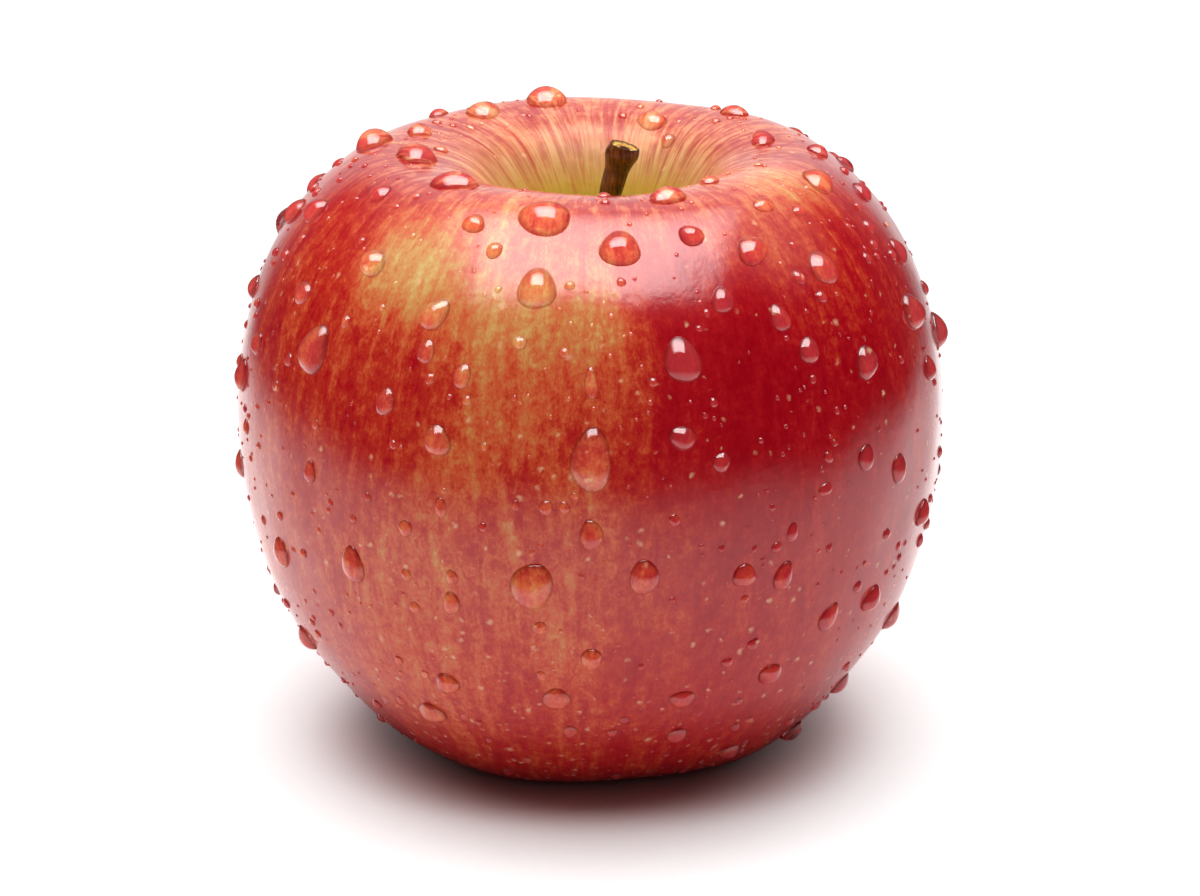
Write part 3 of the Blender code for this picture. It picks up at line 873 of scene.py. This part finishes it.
def makeFloor():
    material, tree, shader = newMaterial("matteWhitePaper")
    place = addNode(tree, "ShaderNodeTexCoord").outputs["Object"]
    fleck = addNode(tree, "ShaderNodeTexNoise", {"Vector": place, "Scale": 900.0, "Detail": 2.0})  # 1 mm
    tone = addNode(tree, "ShaderNodeMapRange", {0: fleck.outputs[0], 3: 0.97, 4: 1.0}).outputs[0]
    distance = addNode(tree, "ShaderNodeVectorMath", {0: place}, operation="LENGTH").outputs["Value"]
    # painted light: the gloss sees the paper brighter near and behind the fruit and darker farther off, a
    # pool of light painted into its colour on top of the lamp's own
    inGloss = addNode(tree, "ShaderNodeMath", {0: studio["floorInGloss"], 1: distance},
                      operation="DIVIDE").outputs[0]
    depth = addNode(tree, "ShaderNodeSeparateXYZ", {0: place}).outputs["Y"]
    behind = addNode(tree, "ShaderNodeMapRange",
                     {0: depth, 1: -0.08, 2: 0.08, 3: 1.0, 4: studio["floorBehind"]}).outputs[0]
    inGloss = addNode(tree, "ShaderNodeMath", {0: inGloss, 1: studio["floorNearest"]},
                      operation="MINIMUM").outputs[0]
    inGloss = addNode(tree, "ShaderNodeMath", {0: inGloss, 1: behind}, operation="MULTIPLY").outputs[0]
    # painted light: sharp reflections, as in the drops, see the painted pool dimmer and softer still
    inDrops = addNode(tree, "ShaderNodeMapRange",
                      {0: distance, 1: 0.02, 2: 0.20, 3: studio["floorInDrops"], 4: 0.0},
                      interpolation_type="SMOOTHERSTEP").outputs[0]
    rays = addNode(tree, "ShaderNodeLightPath")
    inGloss = addNode(tree, "ShaderNodeMix",
                      {0: rays.outputs["Is Singular Ray"], 2: inGloss, 3: inDrops}).outputs[0]
    paintedPoolOfLight = addNode(tree, "ShaderNodeMix", {0: rays.outputs["Is Glossy Ray"], 2: 1.0, 3: inGloss}).outputs[0]
    tone = addNode(tree, "ShaderNodeMath", {0: tone, 1: paintedPoolOfLight}, operation="MULTIPLY").outputs[0]
    mixed = addNode(tree, "ShaderNodeMix", {0: tone, 6: (0, 0, 0, 1), 7: toLinear(studio["floorColour"])},
                    data_type="RGBA")

    # painted shadow: the paper close under the fruit is coloured dark red, in a wide oval, for the fruit's
    # shade and its red bounce light
    wideOval = addNode(tree, "ShaderNodeMapping",
                       {0: place, "Location": studio["floorAhead"], "Scale": (0.8, 1, 1)})
    underFruit = addNode(tree, "ShaderNodeVectorMath", {0: wideOval.outputs[0]},
                         operation="LENGTH").outputs["Value"]
    near, far = studio["paintedShadowReach"]
    paintedShadow = addNode(tree, "ShaderNodeMapRange",
                      {0: underFruit, 1: near, 2: far, 3: studio["paintedShadowShare"], 4: 0.0},
                      interpolation_type="SMOOTHSTEP")
    mixed = addNode(tree, "ShaderNodeMix",
                    {0: paintedShadow.outputs[0], 6: mixed.outputs[2], 7: toLinear(studio["paintedShadowColour"])},
                    data_type="RGBA")
    tree.links.new(mixed.outputs[2], shader.inputs["Base Color"])
    shader.inputs["Roughness"].default_value = 0.9

    # the paper fades into the backdrop, nearer to the fruit as it is seen than as it is mirrored
    narrowOval = addNode(tree, "ShaderNodeMapping",
                         {0: place, "Location": studio["floorAhead"], "Scale": (1.35, 1, 1)})
    fromFruit = addNode(tree, "ShaderNodeVectorMath", {0: narrowOval.outputs[0]},
                        operation="LENGTH").outputs["Value"]
    near, far = studio["floorReach"]
    seen = addNode(tree, "ShaderNodeMapRange", {0: fromFruit, 1: near, 2: far, 3: 1.0, 4: 0.0},
                   interpolation_type="SMOOTHSTEP").outputs[0]
    near, far = studio["floorMirrored"]
    mirrored = addNode(tree, "ShaderNodeMapRange", {0: distance, 1: near, 2: far, 3: 1.0, 4: 0.0},
                       interpolation_type="SMOOTHSTEP").outputs[0]
    direct = addNode(tree, "ShaderNodeMath",
                     {0: rays.outputs["Is Camera Ray"], 1: rays.outputs["Is Transmission Ray"]},
                     operation="MAXIMUM").outputs[0]
    fade = addNode(tree, "ShaderNodeMix", {0: direct, 2: mirrored, 3: seen}).outputs[0]
    tree.links.new(fade, shader.inputs["Alpha"])
    half = studio["floorSize"] / 2
    corners = [(-half, -half, 0), (half, -half, 0), (half, half, 0), (-half, half, 0)]
    floor = makeObject("studioFloor", corners, [(0, 1, 2, 3)], material, smooth=False)


def makeSoftbox():
    # the gloss sees a panel whose light falls off towards its edges; matte surfaces are lit by a weaker lamp
    low, high, level = studio["boxLow"], studio["boxHigh"], studio["boxHeight"]
    corners = [(low[0], low[1] - studio["boxSkew"], level), (low[0], high[1], level),
               (high[0], high[1], level), (high[0], low[1], level)]
    material, tree, shader = newMaterial("softboxCloth")
    place = addNode(tree, "ShaderNodeTexCoord").outputs["Object"]
    parts = addNode(tree, "ShaderNodeSeparateXYZ", {0: place})
    fromLeft = addNode(tree, "ShaderNodeMapRange",
                       {0: parts.outputs["X"], 1: low[0], 2: low[0] + 0.18, 3: 0.22, 4: 1.0},
                       interpolation_type="SMOOTHSTEP").outputs[0]
    toRear = addNode(tree, "ShaderNodeMapRange",
                     {0: parts.outputs["Y"], 1: high[1] - 0.35, 2: high[1], 3: 1.0, 4: 0.25},
                     interpolation_type="SMOOTHSTEP").outputs[0]
    toRight = addNode(tree, "ShaderNodeMapRange",
                      {0: parts.outputs["X"], 1: high[0] - 0.10, 2: high[0] + 0.02, 3: 1.0, 4: 0.0},
                      interpolation_type="SMOOTHSTEP").outputs[0]
    toFront = addNode(tree, "ShaderNodeMapRange",
                      {0: parts.outputs["Y"], 1: low[1] - 0.05, 2: low[1] + 0.05, 3: 0.2, 4: 1.0},
                      interpolation_type="SMOOTHSTEP").outputs[0]
    glow = addNode(tree, "ShaderNodeMath", {0: fromLeft, 1: toRear}, operation="MULTIPLY").outputs[0]
    glow = addNode(tree, "ShaderNodeMath", {0: glow, 1: toRight}, operation="MULTIPLY").outputs[0]
    glow = addNode(tree, "ShaderNodeMath", {0: glow, 1: toFront}, operation="MULTIPLY").outputs[0]
    strength = addNode(tree, "ShaderNodeMath", {0: glow, 1: studio["boxGlow"]},
                       operation="MULTIPLY").outputs[0]
    shader.inputs["Base Color"].default_value = (0, 0, 0, 1)
    shader.inputs["Specular IOR Level"].default_value = 0.0
    shader.inputs["Emission Color"].default_value = (1, 1, 1, 1)
    tree.links.new(strength, shader.inputs["Emission Strength"])
    panel = makeObject("softboxPanel", corners, [(0, 1, 2, 3)], material, smooth=False)
    panel.visible_camera = panel.visible_diffuse = panel.visible_shadow = False

    lamp = bpy.data.lights.new("softboxFill", "AREA")
    lamp.shape = "RECTANGLE"
    lamp.size, lamp.size_y = high[0] - low[0], high[1] - low[1]
    lamp.energy = studio["fillPower"]
    fill = bpy.data.objects.new("softboxFill", lamp)
    fill.location = ((low[0] + high[0]) / 2, (low[1] + high[1]) / 2, level - 0.01)
    fill.visible_glossy = False
    bpy.context.scene.collection.objects.link(fill)


def makeRoom():
    # reflections see it bright behind and above, and dark in front; the camera sees plain white
    world = bpy.data.worlds.new("studioRoom")
    world.use_nodes = True
    tree = world.node_tree
    background = tree.nodes["Background"]
    direction = addNode(tree, "ShaderNodeTexCoord").outputs["Generated"]
    parts = addNode(tree, "ShaderNodeSeparateXYZ", {0: direction})
    aside = addNode(tree, "ShaderNodeMath", {0: parts.outputs["X"]}, operation="ABSOLUTE").outputs[0]
    behind = addNode(tree, "ShaderNodeMapRange",
                     {0: parts.outputs["Y"], 1: 0.45, 2: 0.85, 3: 0.02, 4: studio["rearGlow"]},
                     interpolation_type="SMOOTHSTEP").outputs[0]
    midway = addNode(tree, "ShaderNodeMapRange", {0: aside, 1: 0.25, 2: 0.60, 3: 1.0, 4: 0.12},
                     interpolation_type="SMOOTHSTEP").outputs[0]
    wall = addNode(tree, "ShaderNodeMath", {0: behind, 1: midway}, operation="MULTIPLY").outputs[0]
    high = addNode(tree, "ShaderNodeMapRange",
                   {0: parts.outputs["Z"], 1: 0.40, 2: 0.82, 3: 0.0, 4: studio["aboveGlow"]},
                   interpolation_type="SMOOTHSTEP").outputs[0]
    rearHalf = addNode(tree, "ShaderNodeMapRange", {0: parts.outputs["Y"], 1: -0.25, 2: 0.25, 3: 0.0, 4: 1.0},
                       interpolation_type="SMOOTHSTEP").outputs[0]
    above = addNode(tree, "ShaderNodeMath", {0: high, 1: rearHalf}, operation="MULTIPLY").outputs[0]
    glow = addNode(tree, "ShaderNodeMath", {0: wall, 1: above}, operation="ADD").outputs[0]
    rays = addNode(tree, "ShaderNodeLightPath")
    glow = addNode(tree, "ShaderNodeMath", {0: rays.outputs["Is Diffuse Ray"], 1: studio["ambient"], 2: glow},
                   operation="MULTIPLY_ADD").outputs[0]
    # sharp reflections, as in the drops, see the softbox and little of the room
    sharp = addNode(tree, "ShaderNodeMath",
                    {0: rays.outputs["Is Singular Ray"], 1: rays.outputs["Is Glossy Ray"]},
                    operation="MULTIPLY").outputs[0]
    kept = addNode(tree, "ShaderNodeMath", {0: sharp, 1: -studio["dropsDim"], 2: 1.0},
                   operation="MULTIPLY_ADD").outputs[0]
    glow = addNode(tree, "ShaderNodeMath", {0: glow, 1: kept}, operation="MULTIPLY").outputs[0]
    # the plain backdrop, also as seen through a drop at the fruit's edge
    direct = addNode(tree, "ShaderNodeMath",
                     {0: rays.outputs["Is Camera Ray"], 1: rays.outputs["Is Transmission Ray"]},
                     operation="MAXIMUM").outputs[0]
    strength = addNode(tree, "ShaderNodeMix", {0: direct, 2: glow, 3: studio["whiteness"]}).outputs[0]
    tree.links.new(strength, background.inputs["Strength"])
    background.inputs["Color"].default_value = (1, 1, 1, 1)
    bpy.context.scene.world = world


cameraSet = {
    "tilt": math.radians(19),
    "away": 0.42,  # from a point in the core at this height
    "coreHeight": 36 * mm,
    "target": (1.0 * mm, 0.0, 31.8 * mm),
    "lens": 110.9,
    "sensorWidth": 36,
}


def makeCamera():
    tilt, away = cameraSet["tilt"], cameraSet["away"]
    data = bpy.data.cameras.new("camera")
    data.lens = cameraSet["lens"]
    data.sensor_width = cameraSet["sensorWidth"]
    camera = bpy.data.objects.new("camera", data)
    camera.location = (0.0, -away * math.cos(tilt), cameraSet["coreHeight"] + away * math.sin(tilt))
    bpy.context.scene.collection.objects.link(camera)
    gaze = np.array(cameraSet["target"]) - np.array(camera.location)
    camera.rotation_euler = (math.atan2(math.hypot(gaze[0], gaze[1]), -gaze[2]), 0,
                             math.atan2(-gaze[0], gaze[1]))
    bpy.context.scene.camera = camera


makeFloor()
makeSoftbox()
makeRoom()
makeCamera()
bpy.context.scene.view_settings.view_transform = "Standard"
print("studio ready")
